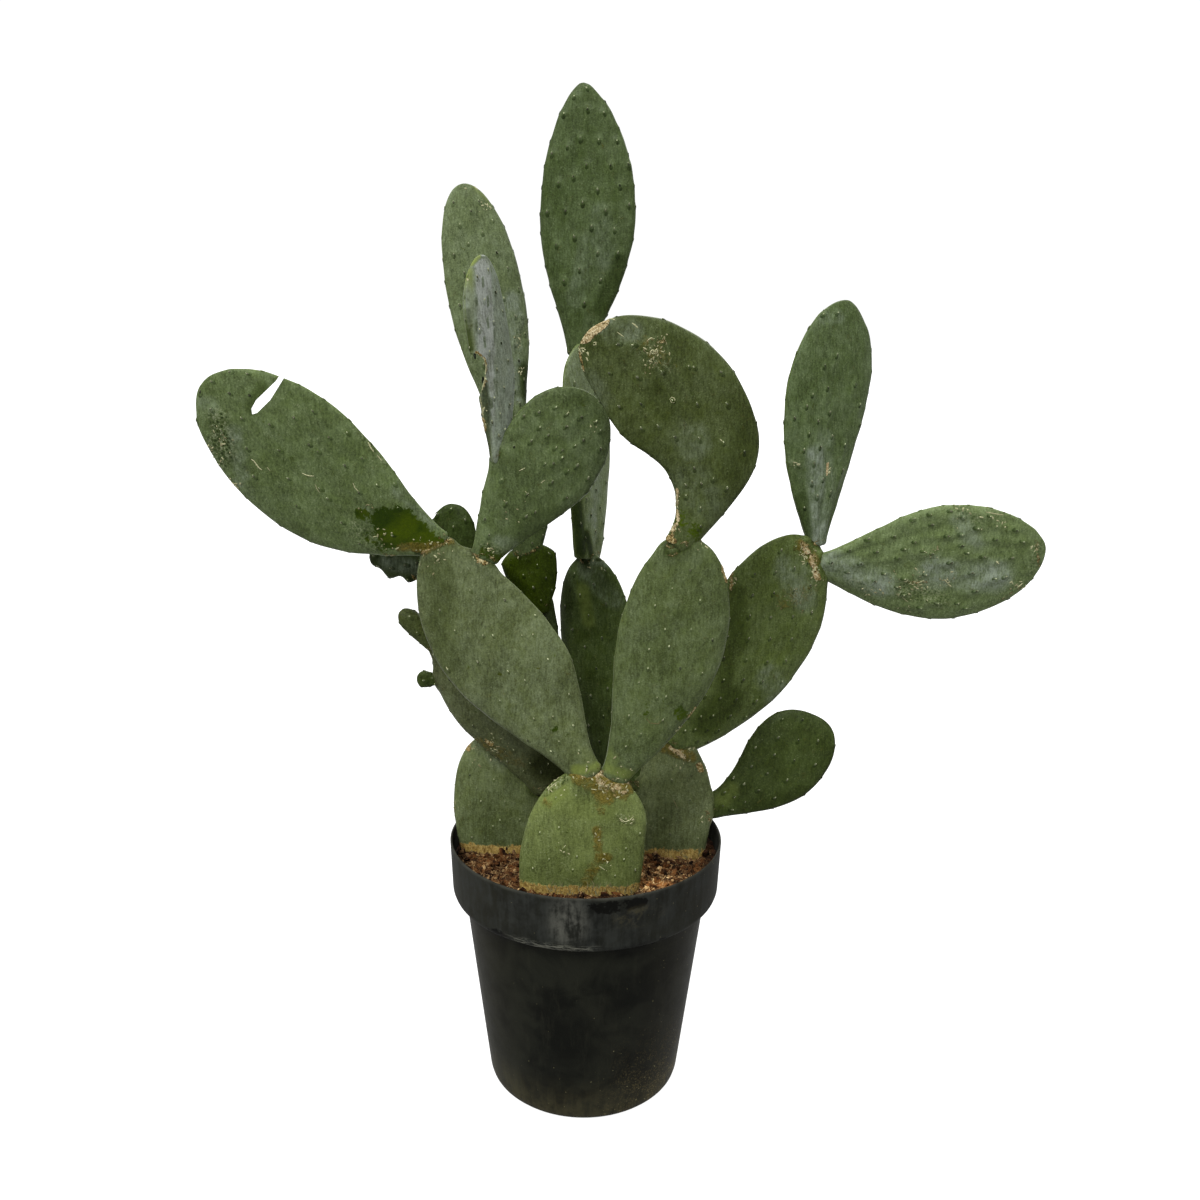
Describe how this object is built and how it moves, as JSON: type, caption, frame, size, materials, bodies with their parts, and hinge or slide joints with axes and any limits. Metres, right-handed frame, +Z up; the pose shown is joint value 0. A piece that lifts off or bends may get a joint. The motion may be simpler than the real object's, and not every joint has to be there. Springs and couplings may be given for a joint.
{
  "type": "potted paddle cactus",
  "caption": "Upright paddle cactus of flat oval jointed pads, growing in soil in a round tapered black pot with a deep collar.",
  "frame": {"origin": "centre of the pot's flat underside", "axes": "+Z up, -Y the side that the picture shows, +X to the viewer's right; +Z is the longest extent and +Y the shortest"},
  "size_m": [0.7659, 0.27, 0.9731],
  "materials": {
    "older_pads": "waxy, semi-matte olive green with a pale bloom",
    "younger_pads": "waxy, semi-matte mid to dark green with a grey bloom",
    "soil": "rough brown coconut-fibre potting mix",
    "pot": "dusty black moulded plastic, satin"
  },
  "bodies": {
    "root": {"pad_back_centre": "younger_pads", "pad_back_narrow": "younger_pads", "pad_base_front": "older_pads", "pad_base_left": "older_pads", "pad_base_right": "older_pads", "pad_bud_left": "younger_pads", "pad_centre_left": "younger_pads", "pad_crest": "younger_pads", "pad_curved": "younger_pads", "pad_far_left": "younger_pads", "pad_far_right": "younger_pads", "pad_front_left": "older_pads", "pad_front_right": "older_pads", "pad_grey_narrow": "younger_pads", "pad_hidden_top": "younger_pads", "pad_left_back": "older_pads", "pad_left_stem": "older_pads", "pad_link": "younger_pads", "pad_low_right": "younger_pads", "pad_right": "younger_pads", "pad_square": "younger_pads", "pad_tall_back": "younger_pads", "pad_tiny_bud": "younger_pads", "pad_top": "younger_pads", "pad_upper_right": "younger_pads", "pot": "pot", "soil": "soil"}
  },
  "joints": []
}
